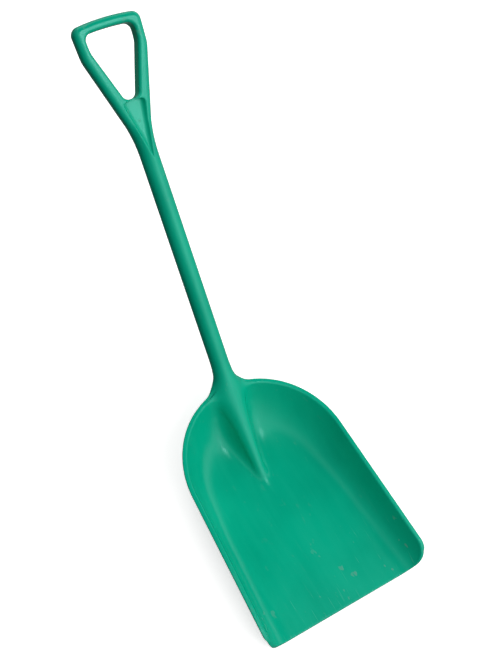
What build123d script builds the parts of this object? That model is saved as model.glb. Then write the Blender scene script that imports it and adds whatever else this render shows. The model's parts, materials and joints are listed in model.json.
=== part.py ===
"""Scoop shovel with a D-grip, moulded in plastic.

Frame: the scoop lies with its flat underside on Z = 0.  +Y runs from the digging edge
to the grip, +Z points out of the open scoop, and X runs across it.  The origin is on
the centre line of the underside.  Millimetres throughout.
"""
from build123d import *
from math import acos, atan2, cos, hypot, radians, sin, tan
import os

os.makedirs("parts", exist_ok=True)

# ---- scoop -------------------------------------------------------------------------
pan_width = 347.0          # across the rim at the digging edge
pan_length = 430.0         # digging edge to the back of the rim
front_y = -190.0           # digging edge
back_y = front_y + pan_length
wall = 6.0                 # thickness of the bed and the walls
draft = 24.0               # lean of the walls from upright, degrees
front_height = 45.0        # rim height at the digging edge
back_height = 79.0         # rim height at the back
back_radius = 157.0        # plan radius of the rim at the back
bend_radius = 40.0         # inner radius where the bed turns up into the walls
corner_radius = 36.0       # front upper corner of each side wall
bead_height = 7.0          # rim bead, measured down the wall
bead_step = 1.8            # how far the bead stands out from the wall
lip_depth = 12.0           # front to back size of the digging edge
lip_nose = 4.0             # thickness of the digging edge at its nose
lip_slope = 10.0           # length of the slope on its upper face that thins it
bed_margin = 2.0           # flat strip that stays with the walls beside the bed

# ---- shaft -------------------------------------------------------------------------
lift = 34.0                # angle between the shaft and the bed, degrees
root_z = 86.0              # height of the shaft's axis above the back of the rim
shaft_radius = 16.5
bore_radius = 13.0
plug_depth = 34.0          # the shaft's bore runs this far into socket and yoke
socket_end = 62.0          # all distances along the shaft start at the back of the rim
shaft_end = 405.0
ridge_nose = -194.0        # where the ridge sinks into the bed
ridge_skin = 5.0           # wall of the hollow ridge
# distance, half width and half height of the sections that flare into the rim
flare_sections = ((-14, 47, 15.5), (10, 29, 16.2), (32, 19, 16.5), (socket_end, shaft_radius, shaft_radius))
# distance, half width and top of the ridge's sections
ridge_sections = (
    (12, 28, shaft_radius),
    (-20, 19, 17.0),
    (-60, 15.5, 18.5),
    (-120, 10.5, 22.0),
    (ridge_nose, 6.0, 27.0),
)
ridge_leg = 120.0          # the ridge's flanks run down this far before they are trimmed
ridge_spread = 12.0        # how much each flank spreads on the way

# ---- grip --------------------------------------------------------------------------
grip_length = 665.0        # outer edge of the crossbar
grip_half = 65.0           # half the width across the corners
grip_depth = 25.0          # front face to back face
grip_skin = 3.2            # wall of the hollow arms and crossbar
edge_round = 6.0
fork_start = 460.0         # where the sides leave the shaft
fork_swell = 1.5           # how much wider than the shaft, per side, the yoke has grown there
shoulder = 605.0           # where they turn up to the crossbar
crown = 5.0                # how far the crossbar arches from corner to middle
opening_half = 47.0        # half the width of the hand opening under the crossbar
opening_foot = 13.0        # half its width at the foot
opening_start = 524.0      # foot of the hand opening
opening_end = 647.0        # underside of the crossbar
void_start = 470.0         # where the hollow inside of the arms begins
arm_start = 512.0
arm_end = 628.0
web_start = 437.0          # point of the recessed web
web_end = 598.5            # where its two flanges run out into the arms
web_half = 40.5            # half its width there
web_thickness = 8.0

lean = tan(radians(draft))
tall = 150.0               # height of the scoop's bodies before they are trimmed
far = 400.0                # longer than anything that is trimmed

shaft_dir = Vector(0, cos(radians(lift)), sin(radians(lift)))
shaft_up = Vector(0, -sin(radians(lift)), cos(radians(lift)))
root = Vector(0, back_y, root_z)
grip_plane = Plane(origin=root, x_dir=(1, 0, 0), z_dir=shaft_up)


def across(distance):
    """Plane square to the shaft, X across the shovel and Y up out of the scoop."""
    return Plane(origin=root + shaft_dir * distance, x_dir=(1, 0, 0), z_dir=-shaft_dir)


# Underside outline: straight sides that narrow towards the back and end in one arc.
floor_half = pan_width / 2 - front_height * lean
floor_radius = back_radius - 0.8 * back_height * lean
floor_back = back_y - back_height * lean
floor_centre = floor_back - floor_radius


def scoop_outline(inset):
    """Underside outline moved in by inset and run on past the digging edge."""
    half = floor_half - inset
    radius = floor_radius - inset
    reach = floor_centre - front_y
    angle = acos(radius / hypot(half, reach)) - atan2(reach, half)
    touch_x = radius * cos(angle)
    touch_y = floor_centre + radius * sin(angle)
    slope = (half - touch_x) / (touch_y - front_y)
    early_y = front_y - 40.0
    early_x = half + 40.0 * slope
    Polyline((-touch_x, touch_y), (-early_x, early_y), (early_x, early_y), (touch_x, touch_y))
    ThreePointArc((touch_x, touch_y), (0, floor_centre + radius), (-touch_x, touch_y))


def rim_line(drop):
    """Side view of all that lies more than drop below the top of the rim."""
    rise = (back_height - front_height) / pan_length
    end_y = back_y + 40.0
    Polyline(
        (front_y, -1.0),
        (front_y, front_height - drop),
        (end_y, front_height - drop + rise * (end_y - front_y)),
        (end_y, -1.0),
        close=True,
    )


def drafted_body(inset, base, bend):
    """Solid inside a wall surface, leaning out by the draft, with a rounded foot."""
    with BuildPart(mode=Mode.PRIVATE) as body:
        with BuildSketch(Plane.XY.offset(base)):
            with BuildLine():
                scoop_outline(inset)
            make_face()
        extrude(amount=tall, taper=-draft)
        foot = body.faces().sort_by(Axis.Z)[0].edges()
        front = body.faces().sort_by(Axis.Y)[0].edges()
        fillet([e for e in foot if e not in front], radius=bend)
    return body.part


def side_trim(drop, corner):
    """Solid of the side view under the rim, as wide as the scoop."""
    with BuildPart(mode=Mode.PRIVATE) as trim:
        with BuildSketch(Plane.YZ) as side:
            with BuildLine():
                rim_line(drop)
            make_face()
            top_front = side.vertices().group_by(Axis.X)[0].sort_by(Axis.Y)[-1]
            fillet(top_front, radius=corner)
        extrude(amount=far, both=True)
    return trim.part


inner_inset = wall * (1 / cos(radians(draft)) - lean)
outer_body = drafted_body(0.0, 0.0, bend_radius + wall)
cavity_body = drafted_body(inner_inset, wall, bend_radius)
bead_body = drafted_body(-bead_step / cos(radians(draft)), 0.0, bend_radius + wall)
under_rim = side_trim(0.0, corner_radius)
under_bead = side_trim(bead_height, corner_radius - 3.0)


# ---- scoop: bed, lip, walls and rim ------------------------------------------------
bed_inset = (bend_radius + wall) * tan(radians(45 - draft / 2)) + bed_margin


def flat_prism():
    """Upright solid over the flat part of the underside."""
    with BuildPart(mode=Mode.PRIVATE) as prism:
        with BuildSketch(Plane.XY.offset(-1.0)):
            with BuildLine():
                scoop_outline(bed_inset)
            make_face()
        extrude(amount=wall + 2.0)
    return prism.part


bed_prism = flat_prism()
behind_lip = Plane(origin=(0, front_y + lip_depth, 0), z_dir=(0, 1, 0))
behind_sides = Plane(origin=(0, floor_centre, 0), z_dir=(0, 1, 0))

with BuildPart(mode=Mode.PRIVATE) as shell:
    add(outer_body)
    add(cavity_body, mode=Mode.SUBTRACT)
    add(under_bead, mode=Mode.INTERSECT)

with BuildPart(mode=Mode.PRIVATE) as rising_walls:
    add(shell.part)
    add(bed_prism, mode=Mode.SUBTRACT)

with BuildPart() as scoop_bed:
    add(shell.part)
    add(bed_prism, mode=Mode.INTERSECT)
    split(bisect_by=behind_lip, keep=Keep.TOP)

with BuildPart() as digging_lip:
    add(shell.part)
    add(bed_prism, mode=Mode.INTERSECT)
    split(bisect_by=behind_lip, keep=Keep.BOTTOM)
    nose = digging_lip.edges().filter_by(Axis.X).group_by(Axis.Y)[0].sort_by(Axis.Z)[-1]
    chamfer(nose, length=wall - lip_nose, length2=lip_slope)

with BuildPart() as left_wall:
    add(rising_walls.part)
    split(bisect_by=behind_sides, keep=Keep.BOTTOM)
    split(bisect_by=Plane.YZ, keep=Keep.BOTTOM)

with BuildPart() as right_wall:
    add(rising_walls.part)
    split(bisect_by=behind_sides, keep=Keep.BOTTOM)
    split(bisect_by=Plane.YZ, keep=Keep.TOP)

with BuildPart() as back_wall:
    add(rising_walls.part)
    split(bisect_by=behind_sides, keep=Keep.TOP)

with BuildPart() as rim_bead:
    add(bead_body)
    add(cavity_body, mode=Mode.SUBTRACT)
    add(under_rim, mode=Mode.INTERSECT)
    add(under_bead, mode=Mode.SUBTRACT)

# ---- shaft, its socket and the ridge inside the scoop --------------------------------
with BuildPart(mode=Mode.PRIVATE) as flare:
    for distance, half, height in flare_sections:
        with BuildSketch(across(distance)):
            Ellipse(half, height)
    loft()


def arch(half, rise):
    """Round-topped section, its legs spreading as they go down."""
    foot = half + ridge_spread
    Polyline((-half, 0), (-foot, -ridge_leg), (foot, -ridge_leg), (half, 0))
    EllipticalCenterArc((0, 0), half, rise, start_angle=0, arc_size=180)


def keel(inset):
    """Tapering ridge body along the line of the shaft, moved in by inset."""
    with BuildPart(mode=Mode.PRIVATE) as body:
        for distance, half, top in ridge_sections:
            with BuildSketch(across(distance)):
                with BuildLine():
                    arch(half - inset, top - inset)
                make_face()
        loft()
    return body.part


with BuildPart() as shaft_ridge:
    add(keel(0.0))
    add(keel(ridge_skin), mode=Mode.SUBTRACT)
    add(outer_body, mode=Mode.INTERSECT)
    add(shell.part, mode=Mode.SUBTRACT)
    add(rim_bead.part, mode=Mode.SUBTRACT)

with BuildPart() as shaft_socket:
    add(flare.part)
    add(outer_body, mode=Mode.SUBTRACT)
    add(rim_bead.part, mode=Mode.SUBTRACT)
    with BuildSketch(across(socket_end)):
        Circle(bore_radius)
    extrude(amount=plug_depth, mode=Mode.SUBTRACT)

with BuildPart() as shaft:
    with BuildSketch(across(socket_end)):
        Circle(shaft_radius)
        Circle(bore_radius, mode=Mode.SUBTRACT)
    extrude(amount=-(shaft_end - socket_end))


# ---- grip ----------------------------------------------------------------------------
def round_corner(sketch, x, y, radius):
    """Round the outline's corners at x, y and at its mirror image."""
    for side in (-1, 1):
        corner = sketch.vertices().sort_by_distance((side * x, y, 0))[0]
        fillet(corner, radius=radius)


with BuildSketch(Plane.XY) as grip_outline:
    with BuildLine():
        Polyline(
            (0, shaft_end),
            (shaft_radius, shaft_end),
            (shaft_radius, fork_start),
            (grip_half - 3, shoulder),
            (grip_half, grip_length - crown),
        )
        mirror(about=Plane.YZ)
        ThreePointArc((-grip_half, grip_length - crown), (0, grip_length), (grip_half, grip_length - crown))
    make_face()
    round_corner(grip_outline, shaft_radius, fork_start, 120.0)
    round_corner(grip_outline, grip_half - 3, shoulder, 60.0)
    round_corner(grip_outline, grip_half, grip_length - crown, 15.0)

with BuildSketch(Plane.XY) as hand_opening:
    with BuildLine():
        Polyline(
            (0, opening_start),
            (opening_foot, opening_start),
            (opening_half - 1.5, shoulder + 10),
            (opening_half, opening_end - crown / 2),
        )
        mirror(about=Plane.YZ)
        ThreePointArc(
            (-opening_half, opening_end - crown / 2),
            (0, opening_end),
            (opening_half, opening_end - crown / 2),
        )
    make_face()
    round_corner(hand_opening, opening_foot, opening_start, 12.9)
    round_corner(hand_opening, opening_half - 1.5, shoulder + 10, 40.0)
    round_corner(hand_opening, opening_half, opening_end - crown / 2, 14.0)

with BuildSketch(Plane.XY) as web_outline:
    with BuildLine():
        Polyline((0, web_start), (web_half, web_end), (-web_half, web_end), close=True)
    make_face()

with BuildSketch(Plane.XY) as void_outline:
    add(grip_outline.sketch)
    add(hand_opening.sketch, mode=Mode.SUBTRACT)
    offset(amount=-grip_skin, kind=Kind.INTERSECTION)
    add(offset(web_outline.sketch, grip_skin, mode=Mode.PRIVATE), mode=Mode.SUBTRACT)
    with Locations((0, void_start)):
        Rectangle(far, 2 * far, align=(Align.CENTER, Align.MAX), mode=Mode.SUBTRACT)


def grip_prism(outline, half_depth):
    """Outline of the grip made solid, evenly about the shaft's axis."""
    with BuildPart(mode=Mode.PRIVATE) as prism:
        with BuildSketch(grip_plane):
            add(outline)
        extrude(amount=half_depth, both=True)
    return prism.part


def on_face(edge):
    """True for an edge in the grip's front or back face."""
    return abs(abs(grip_plane.to_local_coords(edge.center()).Z) - grip_depth / 2) < 0.01


with BuildPart(mode=Mode.PRIVATE) as frame:
    add(grip_prism(grip_outline.sketch - hand_opening.sketch, grip_depth / 2))
    fillet(frame.edges().filter_by(on_face), radius=edge_round)
    add(grip_prism(void_outline.sketch, grip_depth / 2 - grip_skin), mode=Mode.SUBTRACT)
    add(grip_prism(web_outline.sketch, grip_depth), mode=Mode.SUBTRACT)

with BuildPart() as grip_web:
    add(grip_prism(web_outline.sketch - hand_opening.sketch, web_thickness / 2))

with BuildPart() as grip_yoke:
    with BuildSketch(across(shaft_end)):
        Circle(shaft_radius)
    with BuildSketch(across(fork_start)):
        Ellipse(shaft_radius + fork_swell, grip_depth / 2)
    loft()
    add(grip_prism(web_outline.sketch, grip_depth), mode=Mode.SUBTRACT)
    add(frame.part)
    split(bisect_by=across(arm_start), keep=Keep.TOP)
    with BuildSketch(across(shaft_end)):
        Circle(bore_radius)
    extrude(amount=-plug_depth, mode=Mode.SUBTRACT)

with BuildPart(mode=Mode.PRIVATE) as arms:
    add(frame.part)
    split(bisect_by=across(arm_start), keep=Keep.BOTTOM)
    split(bisect_by=across(arm_end), keep=Keep.TOP)

with BuildPart() as left_arm:
    add(arms.part)
    split(bisect_by=Plane.YZ, keep=Keep.BOTTOM)

with BuildPart() as right_arm:
    add(arms.part)
    split(bisect_by=Plane.YZ, keep=Keep.TOP)

with BuildPart() as crossbar:
    add(frame.part)
    split(bisect_by=across(arm_end), keep=Keep.BOTTOM)

# ---- write the pieces ----------------------------------------------------------------
scoop_bed.part.label = "scoop_bed"
digging_lip.part.label = "digging_lip"
left_wall.part.label = "left_wall"
right_wall.part.label = "right_wall"
back_wall.part.label = "back_wall"
rim_bead.part.label = "rim_bead"
shaft_ridge.part.label = "shaft_ridge"
shaft_socket.part.label = "shaft_socket"
shaft.part.label = "shaft"
grip_yoke.part.label = "grip_yoke"
grip_web.part.label = "grip_web"
left_arm.part.label = "left_arm"
right_arm.part.label = "right_arm"
crossbar.part.label = "crossbar"

pieces = (
    scoop_bed,
    digging_lip,
    left_wall,
    right_wall,
    back_wall,
    rim_bead,
    shaft_ridge,
    shaft_socket,
    shaft,
    grip_yoke,
    grip_web,
    left_arm,
    right_arm,
    crossbar,
)
for piece in pieces:
    export_step(piece.part, f"parts/{piece.part.label}.step")

volume = sum(piece.part.volume for piece in pieces)
moment = sum(piece.part.volume * piece.part.center(CenterOf.MASS).Y for piece in pieces)
print(f"volume {volume / 1000:.0f} cm3, centre of mass {moment / volume:.1f} mm behind the origin")
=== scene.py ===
"""Looks of a plastic scoop shovel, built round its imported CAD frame.

The shovel is one moulding, so its skin is one signed distance function, in millimetres and
in the row frame.  The function is meshed, the mesh is cut where the CAD divides the shovel,
and every piece replaces the CAD node of its name.
"""
import json
from math import acos, atan, atan2, cos, hypot, pi, radians, sin, sqrt, tan

import bpy
import numpy as np
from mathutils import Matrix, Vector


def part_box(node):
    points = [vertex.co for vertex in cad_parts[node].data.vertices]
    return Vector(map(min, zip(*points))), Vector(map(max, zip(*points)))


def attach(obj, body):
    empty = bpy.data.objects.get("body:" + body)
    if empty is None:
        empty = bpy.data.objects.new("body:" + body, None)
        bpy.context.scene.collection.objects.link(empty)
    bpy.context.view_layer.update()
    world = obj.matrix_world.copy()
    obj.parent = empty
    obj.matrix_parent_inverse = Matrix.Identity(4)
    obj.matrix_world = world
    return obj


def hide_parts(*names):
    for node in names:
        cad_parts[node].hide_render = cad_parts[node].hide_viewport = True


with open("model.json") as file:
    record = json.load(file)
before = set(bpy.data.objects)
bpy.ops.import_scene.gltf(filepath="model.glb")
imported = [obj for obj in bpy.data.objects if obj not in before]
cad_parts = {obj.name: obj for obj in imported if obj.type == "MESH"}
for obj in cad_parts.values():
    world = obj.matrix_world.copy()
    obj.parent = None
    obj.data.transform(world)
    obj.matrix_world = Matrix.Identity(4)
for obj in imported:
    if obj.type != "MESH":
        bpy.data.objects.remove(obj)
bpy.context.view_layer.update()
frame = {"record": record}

import openvdb
from mathutils import Matrix, Vector

MM = 0.001
mounts = {m["name"]: m for m in frame["record"]["mounts"]}

# ---- scoop, in millimetres ---------------------------------------------------------
pan_width = 347.0          # across the rim at the digging edge
pan_length = 430.0         # digging edge to the back of the rim
front_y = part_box("digging_lip")[0].y / MM
back_y = front_y + pan_length
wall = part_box("scoop_bed")[1].z / MM
draft = radians(24.0)
lean = tan(draft)
front_height = 45.0        # rim height at the digging edge
back_height = 79.0         # rim height at the back
back_radius = 157.0        # plan radius of the rim at the back
bend_radius = 40.0         # inner radius of the bend that the bed's outline allows for
bend_soft = 46.0           # width of the soft bend from bed to side walls
bowl_soft = 96.0           # its width at the back, where the scoop is a bowl
corner_radius = 36.0       # front upper corner of each side wall
bead_height = 7.0          # rim bead, measured down the wall
bead_step = 1.8            # how far the bead stands out from the wall
edge_share = 0.28          # rounding of the rim and the digging edge, as a share of thickness
lip_depth = 12.0           # front to back size of the digging edge
bed_margin = 2.0           # flat strip that stays with the walls beside the bed

floor_half = pan_width / 2 - front_height * lean
floor_radius = back_radius - 0.8 * back_height * lean
floor_centre = back_y - back_height * lean - floor_radius
bowl_start = floor_centre - 90.0
bowl_full = back_y - 50.0
reach = floor_centre - front_y
side_turn = acos(floor_radius / hypot(floor_half, reach)) - atan2(reach, floor_half)
bed_inset = (bend_radius + wall) * tan(radians(45) - draft / 2) + bed_margin
rim_slope = (back_height - front_height) / pan_length
rim_tilt = atan(rim_slope)

# ---- shaft and grip ----------------------------------------------------------------
shaft_dir = -Vector(mounts["hanging_point"]["axis"])
shaft_out = Vector(mounts["shaft_clip_zone"]["axis"])
hang_point = Vector(mounts["hanging_point"]["pos_m"]) / MM
root = hang_point - shaft_dir * ((hang_point.y - back_y) / shaft_dir.y)
shaft_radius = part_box("shaft")[1].x / MM
socket_end = 62.0          # all distances along the shaft start at the back of the rim
shaft_end = 405.0
ridge_end = -194.0         # where the ridge sinks into the bed
ridge_length = 180.0       # over this length the ridge widens from its nose
ridge_nose_half = 6.5      # half the ridge's width at its nose
ridge_rise = 10.5          # how far its top stands above the shaft's line at the nose
flank_spread = 0.28        # outward slope of its flanks
flank_scale = 0.963        # makes the flanks' function a distance
legs_start = -32.0         # from here the round shaft grows its flanks, down to legs_full
legs_full = -62.0
bury = 2.0                 # how deep the ridge ends in the scoop's wall
exit_slope = 4.0           # how fast it may leave the wall after legs_start
nose_fillet = 16.0         # width of the fillet beside the ridge's nose
fillet_growth = 32.0       # how much wider it is where the shaft leaves the scoop
grip_fillet = 14.0         # width of the fillet between shaft and grip
grip_length = 665.0        # outer edge of the crossbar
grip_half = 65.0           # half the width across the corners
grip_depth = 25.0          # front face to back face
fork_start = 460.0         # where the sides leave the shaft
shoulder = 605.0           # where they turn up to the crossbar
crown = 5.0                # how far the crossbar arches from corner to middle
opening_half = 47.0        # half the width of the hand opening under the crossbar
opening_foot = 13.0        # half its width at the foot
opening_start = 524.0      # foot of the hand opening
opening_end = 647.0        # underside of the crossbar
arm_start = 512.0
arm_end = 628.0
web_start = 437.0          # point of the recessed web
web_end = 598.5            # where the web's outline runs out into the arms
web_half = 40.5            # half its width there
web_thickness = 8.0
pocket_end = 525.0         # upper end of the recess
pocket_inset = 3.0         # how far its sides stay inside the web's outline
pocket_run = 9.0           # how much shallower the recess gets towards its point
pocket_start = web_start - 12.0
face_round = 10.0          # rounding of the grip's outer edges
hole_round = 5.5           # rounding of the hand opening's edges

pan_cell = 1.5
grip_cell = 1.0


# ---- the skin as a signed distance -------------------------------------------------
def fade(value, start, end):
    """0 at start, 1 at end, smooth between them."""
    s = np.clip((value - start) / (end - start), 0.0, 1.0)
    return s * s * (3.0 - 2.0 * s)


def round_max(a, b, radius, turn=0.0):
    """Intersection with a rounded edge; turn is the dot product of the two normals."""
    u = a + radius
    v = b + radius
    det = 1.0 - turn * turn
    along_a = (u - turn * v) / det
    along_b = (v - turn * u) / det
    both = (along_a > 0) & (along_b > 0)
    square = along_a**2 + along_b**2 + 2 * turn * along_a * along_b
    rounded = np.sqrt(np.where(both, square, 1.0)) - radius
    return np.where(both, rounded, np.maximum(a, b))


def soft_min(a, b, width):
    """Union with a fillet about as wide as width."""
    h = np.maximum(width - np.abs(a - b), 0.0) / np.maximum(width, 1e-6)
    return np.minimum(a, b) - h**3 * width / 6.0


def soft_max(a, b, width):
    """Intersection with an edge softened over about width."""
    return -soft_min(-a, -b, width)


def outer_skin(ax, y, z):
    """Distance from the scoop's outer surface, without its rim: negative inside."""
    q = y - floor_centre
    side = ax * cos(side_turn) + q * sin(side_turn) - floor_radius
    arc = np.hypot(ax, q) - floor_radius
    plan = np.where(q * cos(side_turn) > ax * sin(side_turn), arc, side)
    soft = bend_soft + (bowl_soft - bend_soft) * fade(y, bowl_start, bowl_full)
    return soft_max((plan - z * lean) * cos(draft), -z, soft)


def above_rim(y, z, drop=0.0):
    """Height over a surface that lies drop below the top of the rim."""
    return (z + drop - front_height - rim_slope * (y - front_y)) * cos(rim_tilt)


def bead_swell(over):
    """How far the bead swells the wall, over being the height above the rim."""
    return bead_step * fade(-over, bead_height + 1.5, bead_height - 2.0)


def scoop(skin, y, z):
    """The scoop's shell with its bead, its rim and its straight digging edge."""
    over = above_rim(y, z)
    bead = bead_swell(over)
    shell = np.maximum(skin - bead, -(skin + wall))
    trim = round_max(over, front_y - y, corner_radius, sin(rim_tilt))
    return round_max(shell, trim, edge_share * (wall + bead))


def keel(x, t, n):
    """The shaft and, inside the scoop, the tapering ridge that carries on its line."""
    s = np.clip(t - ridge_end, 0.0, ridge_length)
    ridge_half = ridge_nose_half + 0.075 * s + 1.3e-4 * s * s
    half = ridge_half + (shaft_radius - ridge_half) * fade(t, -25.0, 25.0)
    top = shaft_radius + ridge_rise * np.clip((-t - 15.0) / 179.0, 0.0, 1.0) ** 1.4
    rise = n - (top - half)
    round_top = np.hypot(x, rise) - half
    leg = (np.abs(x) - half + flank_spread * rise) * flank_scale
    legs = np.where(rise > 0, round_top, leg)
    return round_top + (legs - round_top) * fade(t, legs_start, legs_full)


def half_plane(ax, t, foot, top):
    """Distance to the right of the line from foot to top, both (x, t)."""
    dx, dt = top[0] - foot[0], top[1] - foot[1]
    length = hypot(dx, dt)
    return ((ax - foot[0]) * dt - (t - foot[1]) * dx) / length


def under_arch(x, t, half, top, rise):
    """Distance over a shallow arch of that half span, highest at top."""
    radius = (half * half + rise * rise) / (2 * rise)
    return np.hypot(x, t - top + radius) - radius


def grip_outline(ax, t):
    """Distance to the grip's outline in the plane of its faces."""
    corner = (grip_half - 3.0, shoulder)
    side = half_plane(ax, t, (shaft_radius, fork_start), corner)
    upper = half_plane(ax, t, corner, (grip_half, grip_length - crown))
    sides = round_max(side, upper, 60.0, 0.968)
    return round_max(sides, under_arch(ax, t, grip_half, grip_length, crown), 15.0, 0.06)


def hand_opening(ax, t):
    """Distance to the hand opening's outline."""
    corner = (opening_half - 1.5, shoulder + 10.0)
    side = half_plane(ax, t, (opening_foot, opening_start), corner)
    upper = half_plane(ax, t, corner, (opening_half, opening_end))
    sides = round_max(side, upper, 40.0, 0.95)
    top = under_arch(ax, t, opening_half, opening_end, crown / 2)
    return round_max(round_max(sides, top, 13.0, 0.06), opening_start - t, 12.9, 0.34)


def pocket(ax, t, n):
    """Recess between the arms on each face, which leaves the web."""
    side = half_plane(ax, t, (0.0, web_start), (web_half, web_end))
    towards_point = np.clip((pocket_end - t) / (pocket_end - pocket_start), 0.0, 1.1)
    floor_depth = web_thickness / 2 + pocket_run * towards_point
    over_web = np.abs(n) - web_thickness / 2
    side = (side - 0.55 * over_web + pocket_inset) * 0.87
    end = (t - pocket_end + 0.6 * over_web) * 0.85
    return soft_max(soft_max(side, end, 14.0), floor_depth - np.abs(n), 6.0)


def grip(x, t, n):
    """The D-grip: an outline with a hand opening, rounded over both faces."""
    ax = np.abs(x)
    head = round_max(grip_outline(ax, t), np.abs(n) - grip_depth / 2, face_round)
    return round_max(head, -hand_opening(ax, t), hole_round)


def shovel(x, y, z):
    """Signed distance of the whole moulding, negative inside."""
    dy, dz = y - root.y, z - root.z
    t = dy * shaft_dir.y + dz * shaft_dir.z
    n = dy * shaft_out.y + dz * shaft_out.z
    ax = np.abs(x)
    skin = outer_skin(ax, y, z)
    pan = scoop(skin, y, z)
    pole = round_max(keel(x, t, n), t - fork_start - 25.0, shaft_radius)
    pole = np.maximum(pole, skin + bury - exit_slope * np.maximum(t - legs_start, 0.0))
    inside = np.clip((-skin - 0.5) / (wall - 1.5), 0.0, 1.0)
    fillet = nose_fillet + fillet_growth * fade(t, -200.0, -20.0)
    body = soft_min(pan, pole, fillet * np.maximum(inside, fade(t, -35.0, 5.0)))
    body = soft_min(body, grip(x, t, n), grip_fillet)
    return soft_max(body, -pocket(ax, t, n), 3.0 * fade(t, web_start - 60.0, web_start))


# ---- meshing -----------------------------------------------------------------------
def along_shaft(p):
    """Grip coordinates (across, along the shaft, out of the scoop) to row coordinates."""
    y = root.y + p[:, 1] * shaft_dir.y + p[:, 2] * shaft_out.y
    z = root.z + p[:, 1] * shaft_dir.z + p[:, 2] * shaft_out.z
    return np.stack((p[:, 0], y, z), 1)


def as_is(p):
    return p


def gradient(p, step=0.05):
    """Slope of the skin's distance at each point."""
    slope = np.empty_like(p)
    for axis in range(3):
        shift = np.zeros(3)
        shift[axis] = step
        ahead, behind = p + shift, p - shift
        slope[:, axis] = (shovel(*ahead.T) - shovel(*behind.T)) / (2 * step)
    return slope


def settle(p, limit):
    """Moves points onto the skin."""
    for _ in range(4):
        slope = gradient(p)
        move = shovel(*p.T)[:, None] * slope / np.maximum((slope**2).sum(1), 0.2)[:, None]
        p = p - np.clip(move, -limit, limit)
    return p


def polygonise(shape, low, high, cell):
    """Points and quads of shape's zero surface in a box."""
    block = 8
    low = np.array(low, float)
    counts = np.ceil((np.array(high) - low) / (cell * block)).astype(int)
    index = np.indices(counts).reshape(3, -1).T
    near = cell * block * sqrt(3) / 2 * 1.3 + cell
    centres = low + (index * block + (block - 1) / 2) * cell
    index = index[shape(centres) < near]
    steps = np.indices((block,) * 3).reshape(3, -1).T
    grid = openvdb.FloatGrid(3.0 * cell)
    for start in range(0, len(index), 2000):
        some = index[start:start + 2000]
        points = low + (some[:, None] * block + steps[None]) * cell
        values = shape(points.reshape(-1, 3)).reshape(-1, block, block, block)
        values = np.clip(values, -3.0 * cell, 3.0 * cell).astype(np.float32)
        for place, part in zip(some * block, values):
            grid.copyFromArray(np.ascontiguousarray(part), ijk=tuple(int(v) for v in place))
    points, quads = grid.convertToQuads()
    return low + points.astype(float) * cell, quads


def make_mesh(name, points, quads):
    """Closed mesh with its faces turned outwards, still in millimetres."""
    a, b, c, d = (points[quads[:, i]] for i in range(4))
    volume = (np.cross(b - a, c - a) * a).sum() + (np.cross(c - a, d - a) * a).sum()
    if volume < 0:
        quads = quads[:, ::-1]
    mesh = bpy.data.meshes.new(name)
    mesh.from_pydata(points, [], quads)
    return mesh


def cut(mesh, cutter, operation):
    """A new mesh: mesh INTERSECT or DIFFERENCE cutter."""
    body = bpy.data.objects.new("cut_body", mesh)
    tool = bpy.data.objects.new("cut_tool", cutter)
    for o in (body, tool):
        bpy.context.scene.collection.objects.link(o)
    change = body.modifiers.new("cut", "BOOLEAN")
    change.operation = operation
    change.object = tool
    change.solver = "MANIFOLD"
    bpy.context.view_layer.update()
    depsgraph = bpy.context.evaluated_depsgraph_get()
    result = bpy.data.meshes.new_from_object(body.evaluated_get(depsgraph))
    for o in (body, tool):
        bpy.data.objects.remove(o)
    return result


def box_mesh(low, high, place=as_is):
    """A box as a cutter, in the row frame or along the shaft."""
    spans = [(low[axis], high[axis]) for axis in range(3)]
    corners = np.array([(x, y, z) for x in spans[0] for y in spans[1] for z in spans[2]], float)
    faces = ((0, 1, 3, 2), (4, 6, 7, 5), (0, 4, 5, 1), (2, 3, 7, 6), (0, 2, 6, 4), (1, 5, 7, 3))
    return make_mesh("cutter", place(corners), np.array(faces))


def prism_mesh(outline, low, high, place=as_is):
    """An upright prism over a closed outline of (x, y) points."""
    n = len(outline)
    rim = [(x, y, low) for x, y in outline] + [(x, y, high) for x, y in outline]
    mesh = bpy.data.meshes.new("cutter")
    sides = [(i, (i + 1) % n, n + (i + 1) % n, n + i) for i in range(n)]
    caps = [tuple(reversed(range(n))), tuple(range(n, 2 * n))]
    mesh.from_pydata(place(np.array(rim, float)), [], sides + caps)
    return mesh


FAR = 1200.0               # beyond everything that is cut


def shaft_slab(start, end):
    """Everything between two distances along the shaft."""
    return box_mesh((-FAR, start, -FAR), (FAR, end, FAR), along_shaft)


def split_at(mesh, slab):
    """The part inside the slab, and the rest."""
    return cut(mesh, slab, "INTERSECT"), cut(mesh, slab, "DIFFERENCE")


# ---- the scoop's mesh and its pieces -------------------------------------------------
def along_axis(p):
    """Distance along the shaft of each point."""
    return (p[:, 1] - root.y) * shaft_dir.y + (p[:, 2] - root.z) * shaft_dir.z


def lower_part(p):
    return np.maximum(shovel(*p.T), along_axis(p) - socket_end - 12.0)


def upper_part(p):
    return np.maximum(shovel(*along_shaft(p).T), socket_end - 12.0 - p[:, 1])


def pan_zone(p):
    """The scoop's shell, a little fattened, which parts it from ridge and socket."""
    x, y, z = p.T
    skin = outer_skin(np.abs(x), y, z)
    over = above_rim(y, z)
    shell = np.maximum(skin - bead_swell(over) - 0.3, -(skin + wall + 0.3))
    return np.maximum(np.maximum(shell, over - 0.3), front_y - 2.0 - y)


def outer_zone(p):
    """All that lies inside the scoop's outer surface, run on above the rim."""
    x, y, z = p.T
    return np.maximum(outer_skin(np.abs(x), y, z), z - 160.0)


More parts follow.
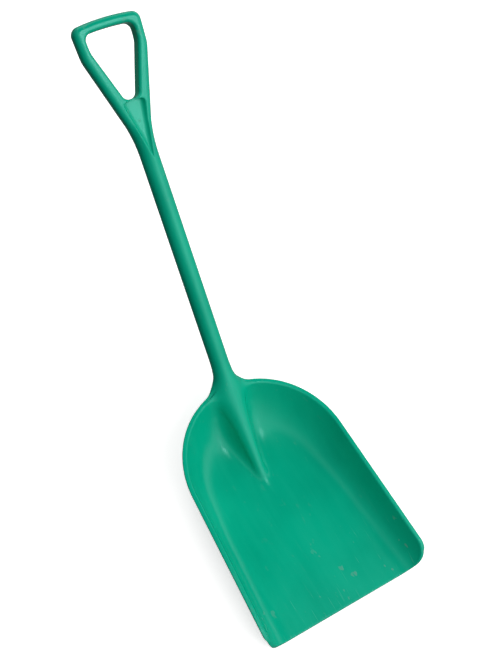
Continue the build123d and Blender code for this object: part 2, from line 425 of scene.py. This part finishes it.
def bed_outline():
    """Outline of the flat bed: straight sides and one arc, as the walls leave it."""
    half = floor_half - bed_inset
    radius = floor_radius - bed_inset
    turn = acos(radius / hypot(half, reach)) - atan2(reach, half)
    angles = np.linspace(turn, np.pi - turn, 65)
    arc = [(radius * cos(a), floor_centre + radius * sin(a)) for a in angles]
    slope = (half - arc[0][0]) / (arc[0][1] - front_y)
    early = half + 40.0 * slope
    return arc + [(-early, front_y - 40.0), (early, front_y - 40.0)]


margin = 4.0 * pan_cell
half_box = pan_width / 2 + bead_step + margin
scoop_low = (-half_box, front_y - margin, -margin)
scoop_high = (half_box, root.y + 90.0, 150.0)

points, quads = polygonise(lower_part, scoop_low, scoop_high, pan_cell)
on_cut = along_axis(points) > socket_end + 8.0
points[~on_cut] = settle(points[~on_cut], 0.5 * pan_cell)
lower = make_mesh("lower", points, quads)

head_half = grip_half + 4.0 * grip_cell
points, quads = polygonise(
    upper_part,
    (-head_half, socket_end - 20.0, -22.0),
    (head_half, grip_length + 4.0 * grip_cell, 22.0),
    grip_cell,
)
points = along_shaft(points)
on_cut = along_axis(points) < socket_end - 8.0
points[~on_cut] = settle(points[~on_cut], 0.5 * grip_cell)
upper = make_mesh("upper", points, quads)

fat_shell = make_mesh("cutter", *polygonise(pan_zone, scoop_low, scoop_high, 2.0))
outer_body = make_mesh("cutter", *polygonise(outer_zone, scoop_low, (half_box, scoop_high[1], 170.0), 3.0))

pan, neck = split_at(lower, fat_shell)
ridge, socket = split_at(neck, outer_body)
bed, walls = split_at(pan, prism_mesh(bed_outline(), -5.0, wall + 3.0))
lip, bed = split_at(bed, box_mesh((-FAR, -FAR, -FAR), (FAR, front_y + lip_depth, FAR)))


def below_rim(drop):
    """All that lies more than drop below the top of the rim."""
    ends = (front_y - 60.0, back_y + 60.0)
    heights = [front_height + rim_slope * (y - front_y) - drop for y in ends]
    side = [(ends[0], -FAR), (ends[1], -FAR), (ends[1], heights[1]), (ends[0], heights[0])]
    return prism_mesh(side, -FAR, FAR, lambda p: p[:, [2, 0, 1]])


low_walls, bead = split_at(walls, below_rim(bead_height))
side_walls, back = split_at(low_walls, box_mesh((-FAR, -FAR, -FAR), (FAR, floor_centre, FAR)))
left, right = split_at(side_walls, box_mesh((-FAR, -FAR, -FAR), (0.0, FAR, FAR)))

shaft, head = split_at(upper, shaft_slab(socket_end, shaft_end))
socket = cut(socket, shaft_slab(-FAR, socket_end), "INTERSECT")
head = cut(head, shaft_slab(shaft_end, FAR), "INTERSECT")
web_sides = [(0.0, web_start), (web_half, web_end), (-web_half, web_end)]
web, head = split_at(head, prism_mesh(web_sides, -FAR, FAR, along_shaft))
yoke, head = split_at(head, shaft_slab(shaft_end, arm_start))
crossbar, arms = split_at(head, shaft_slab(arm_end, FAR))
left_arm, right_arm = split_at(arms, box_mesh((-FAR, -FAR, -FAR), (0.0, FAR, FAR)))

pieces = {
    "scoop_bed": bed,
    "digging_lip": lip,
    "left_wall": left,
    "right_wall": right,
    "back_wall": back,
    "rim_bead": bead,
    "shaft_ridge": ridge,
    "shaft_socket": socket,
    "shaft": shaft,
    "grip_yoke": yoke,
    "grip_web": web,
    "left_arm": left_arm,
    "right_arm": right_arm,
    "crossbar": crossbar,
}
slots = {s["node"]: s["material_slot"] for s in frame["record"]["subparts"]}


def smooth_skin(mesh):
    """Gives the skin the normals of the uncut moulding, so that no joint shows on it."""
    count = len(mesh.vertices)
    p = np.empty(count * 3)
    mesh.vertices.foreach_get("co", p)
    p = p.reshape(-1, 3)
    slope = gradient(p)
    slope /= np.linalg.norm(slope, axis=1)[:, None] + 1e-9
    depth = np.abs(shovel(*p.T))
    corner = np.empty(len(mesh.loops), np.int32)
    mesh.loops.foreach_get("vertex_index", corner)
    start = np.empty(len(mesh.polygons), np.int32)
    mesh.polygons.foreach_get("loop_start", start)
    total = np.empty(len(mesh.polygons), np.int32)
    mesh.polygons.foreach_get("loop_total", total)
    flat = np.empty(len(mesh.polygons) * 3)
    mesh.polygons.foreach_get("normal", flat)
    flat = flat.reshape(-1, 3)
    face = np.repeat(np.arange(len(start)), total)
    agree = (flat[face] * slope[corner]).sum(1)
    off = (agree < 0.5) | (depth[corner] > 0.1)
    cap = np.zeros(len(start), bool)
    np.logical_or.at(cap, face, off)
    normals = np.where(cap[face][:, None], flat[face], slope[corner])
    mesh.polygons.foreach_set("use_smooth", np.ones(len(start), bool))
    mesh.normals_split_custom_set(normals)


# ---- materials ---------------------------------------------------------------------
def add_node(tree, kind, inputs, **settings):
    """A shader node.  An input given as a socket is linked; any other is a plain value."""
    made = tree.nodes.new(kind)
    for key, value in settings.items():
        setattr(made, key, value)
    for key, value in inputs.items():
        if isinstance(value, bpy.types.NodeSocket):
            tree.links.new(value, made.inputs[key])
        else:
            made.inputs[key].default_value = value
    return made


def noise(tree, place, scale, detail=2.0, stretch=(1.0, 1.0, 1.0)):
    """Smooth random pattern from 0 to 1; stretch makes it finer along an axis."""
    spread = add_node(tree, "ShaderNodeMapping", {"Vector": place, "Scale": stretch})
    settings = {"Vector": spread.outputs[0], "Scale": scale, "Detail": detail, "Roughness": 0.55}
    return add_node(tree, "ShaderNodeTexNoise", settings).outputs[0]


def remap(tree, value, start, end, low=0.0, high=1.0):
    """Value turned from the range start..end to low..high, with soft ends."""
    settings = {"Value": value, "From Min": start, "From Max": end, "To Min": low, "To Max": high}
    return add_node(tree, "ShaderNodeMapRange", settings, interpolation_type="SMOOTHSTEP").outputs[0]


def calc(tree, operation, a, b):
    return add_node(tree, "ShaderNodeMath", {0: a, 1: b}, operation=operation).outputs[0]


def mix(tree, factor, a, b):
    """Colour between a and b."""
    return add_node(tree, "ShaderNodeMix", {0: factor, 6: a, 7: b}, data_type="RGBA").outputs[2]


def tint(base, gain, grey=0.0):
    """The base colour made lighter or darker, and greyer."""
    mean = sum(base) / 3
    return tuple(gain * (c + (mean - c) * grey) for c in base) + (1.0,)


def plastic(name, base, wear):
    """Glossy moulded plastic; wear builds the mask of where it is used most."""
    material = bpy.data.materials.new(name)
    material.use_nodes = True
    tree = material.node_tree
    place = add_node(tree, "ShaderNodeTexCoord", {}).outputs["Object"]
    worn = wear(tree, place)

    cloud = noise(tree, place, 7.0, 3.0)
    flow = noise(tree, place, 1.0, 3.0, (60.0, 7.0, 26.0))
    grain = noise(tree, place, 900.0, 1.0)
    peel = noise(tree, place, 330.0, 1.0)
    scratch = remap(tree, noise(tree, place, 1.0, 2.0, (300.0, 16.0, 70.0)), 0.63, 0.72)
    scratch = calc(tree, "MULTIPLY", scratch, worn)
    blotch = remap(tree, noise(tree, place, 70.0, 2.0, (1.0, 0.6, 1.0)), 0.655, 0.73)
    scuff = calc(tree, "MULTIPLY", blotch, worn)

    colour = mix(tree, remap(tree, cloud, 0.3, 0.7), tint(base, 0.93), tint(base, 1.06))
    colour = mix(tree, remap(tree, flow, 0.35, 0.7, 0.0, 0.35), colour, tint(base, 1.10, 0.02))
    colour = mix(tree, calc(tree, "MULTIPLY", scratch, 0.30), colour, tint(base, 1.25, 0.25))
    colour = mix(tree, calc(tree, "MULTIPLY", scuff, 0.6), colour, tint(base, 1.1, 0.6))

    rough = remap(tree, cloud, 0.3, 0.7, 0.12, 0.17)
    rough = calc(tree, "ADD", rough, calc(tree, "MULTIPLY", flow, 0.05))
    rough = calc(tree, "ADD", rough, calc(tree, "MULTIPLY", scratch, 0.20))
    rough = calc(tree, "ADD", rough, calc(tree, "MULTIPLY", scuff, 0.35))
    rough = calc(tree, "ADD", rough, calc(tree, "MULTIPLY", worn, 0.05))

    height = calc(tree, "ADD", peel, calc(tree, "MULTIPLY", grain, 0.25))
    height = calc(tree, "SUBTRACT", height, calc(tree, "MULTIPLY", scratch, 0.8))
    height = calc(tree, "SUBTRACT", height, calc(tree, "MULTIPLY", scuff, 0.5))
    bump = add_node(tree, "ShaderNodeBump", {"Height": height, "Strength": 1.0, "Distance": 4e-5})

    shader = tree.nodes["Principled BSDF"]
    tree.links.new(colour, shader.inputs["Base Color"])
    tree.links.new(rough, shader.inputs["Roughness"])
    tree.links.new(bump.outputs[0], shader.inputs["Normal"])
    shader.inputs["Specular IOR Level"].default_value = 0.3
    shader.inputs["Specular Tint"].default_value = (0.45, 1.0, 0.95, 1.0)
    return material


def digging_wear(tree, place):
    """Most towards the digging edge, and more on the right."""
    axes = add_node(tree, "ShaderNodeSeparateXYZ", {0: place}).outputs
    near_edge = remap(tree, axes[1], -0.04, -0.17, 0.12, 1.0)
    return calc(tree, "MULTIPLY", near_edge, remap(tree, axes[0], -0.16, 0.12, 0.4, 1.0))


def grip_wear(tree, place):
    """Most on the grip, least on the shaft."""
    axes = add_node(tree, "ShaderNodeSeparateXYZ", {0: place}).outputs
    return remap(tree, axes[2], 0.22, 0.42, 0.05, 0.45)


green = (0.0, 0.42, 0.256)
materials = {
    "scoop_plastic": plastic("scoop_plastic_look", green, digging_wear),
    "handle_plastic": plastic("handle_plastic_look", green, grip_wear),
}

for node, mesh in pieces.items():
    smooth_skin(mesh)
    mesh.transform(Matrix.Scale(MM, 4))
    mesh.materials.clear()
    mesh.materials.append(materials[slots[node]])
    piece = bpy.data.objects.new(node + "_form", mesh)
    bpy.context.scene.collection.objects.link(piece)
    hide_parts(node)
    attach(piece, "root")

# ---- camera ------------------------------------------------------------------------
camera_data = bpy.data.cameras.new("camera")
camera_data.sensor_width = 36.0
camera_data.lens = 69.361456753
camera = bpy.data.objects.new("camera", camera_data)
bpy.context.scene.collection.objects.link(camera)
camera.location = Vector((-909.9, -426.8, 2038.6)) * MM
back_axis = Vector((-0.4335, -0.3215, 0.8419))
up_axis = Vector((0.3684, 0.7894, 0.4911))
right_axis = up_axis.cross(back_axis).normalized()
camera.rotation_mode = "QUATERNION"
camera.rotation_quaternion = Matrix((right_axis, up_axis, back_axis)).transposed().to_quaternion()
bpy.context.scene.camera = camera

# ---- floor and light ---------------------------------------------------------------
floor_mesh = bpy.data.meshes.new("floor")
floor_size = 6.0
corners = [(-floor_size, -floor_size, 0), (floor_size, -floor_size, 0)]
corners += [(floor_size, floor_size, 0), (-floor_size, floor_size, 0)]
floor_mesh.from_pydata(corners, [], [(0, 1, 2, 3)])
floor = bpy.data.objects.new("floor", floor_mesh)
bpy.context.scene.collection.objects.link(floor)
floor_material = bpy.data.materials.new("floor")
floor_material.use_nodes = True
floor_shader = floor_material.node_tree.nodes["Principled BSDF"]
floor_shader.inputs["Base Color"].default_value = (0.8, 0.8, 0.8, 1)
floor_shader.inputs["Roughness"].default_value = 0.9
floor_shader.inputs["Emission Color"].default_value = (1, 1, 1, 1)
floor_shader.inputs["Emission Strength"].default_value = 0.65
floor_mesh.materials.append(floor_material)
floor.visible_glossy = False
floor.visible_diffuse = False


def direction(azimuth, elevation):
    """Unit vector for an azimuth from +X towards +Y and an elevation, in degrees."""
    a, e = radians(azimuth), radians(elevation)
    return Vector((cos(a) * cos(e), sin(a) * cos(e), sin(e)))


def lobe(tree, ray, centre, outer, inner):
    """1 within inner degrees of the centre's direction, 0 beyond outer degrees."""
    facing = add_node(tree, "ShaderNodeVectorMath", {0: ray, 1: centre}, operation="DOT_PRODUCT")
    return remap(tree, facing.outputs["Value"], cos(radians(outer)), cos(radians(inner)))


# The sky is darkest where the flat bed would mirror it and low on the left.
sky = 1.95
world = bpy.data.worlds.new("studio")
bpy.context.scene.world = world
world.use_nodes = True
tree = world.node_tree
ray = add_node(tree, "ShaderNodeTexCoord", {}).outputs["Generated"]
dark_above = lobe(tree, ray, direction(18, 64), 46, 20)
dark_left = lobe(tree, ray, direction(180, 8), 100, 40)
strength = calc(tree, "SUBTRACT", 1.0, calc(tree, "MULTIPLY", dark_above, 0.98))
left_gain = calc(tree, "SUBTRACT", 1.0, calc(tree, "MULTIPLY", dark_left, 0.92))
strength = calc(tree, "MULTIPLY", strength, left_gain)
height = add_node(tree, "ShaderNodeSeparateXYZ", {0: ray}).outputs[2]
strength = calc(tree, "MULTIPLY", strength, remap(tree, height, -0.1, 0.85, 0.1, 1.4))
strength = calc(tree, "MULTIPLY", strength, sky)
tree.links.new(strength, tree.nodes["Background"].inputs["Strength"])
tree.nodes["Background"].inputs["Color"].default_value = (1, 1, 1, 1)


def softbox(name, azimuth, elevation, distance, target, width, height, radiance):
    """A rectangular lamp seen from the target in that direction."""
    data = bpy.data.lights.new(name, "AREA")
    data.shape = "RECTANGLE"
    data.size = width
    data.size_y = height
    data.energy = radiance * pi * width * height
    lamp = bpy.data.objects.new(name, data)
    bpy.context.scene.collection.objects.link(lamp)
    aim = direction(azimuth, elevation)
    lamp.location = Vector(target) + aim * distance
    lamp.rotation_mode = "QUATERNION"
    lamp.rotation_quaternion = (-aim).to_track_quat("-Z", "Y")
    lamp.visible_camera = False
    return lamp


softbox("front_softbox", -44, 58, 4.0, (0.0, 0.66, 0.37), 0.95, 1.05, 6.0)
# A wider, dimmer panel behind it, seen in reflections only.
panel = softbox("front_panel", -46, 55, 4.0, (0.0, 0.5, 0.25), 2.3, 2.3, 1.7)
panel.visible_diffuse = False
bpy.context.scene.view_settings.view_transform = "Standard"
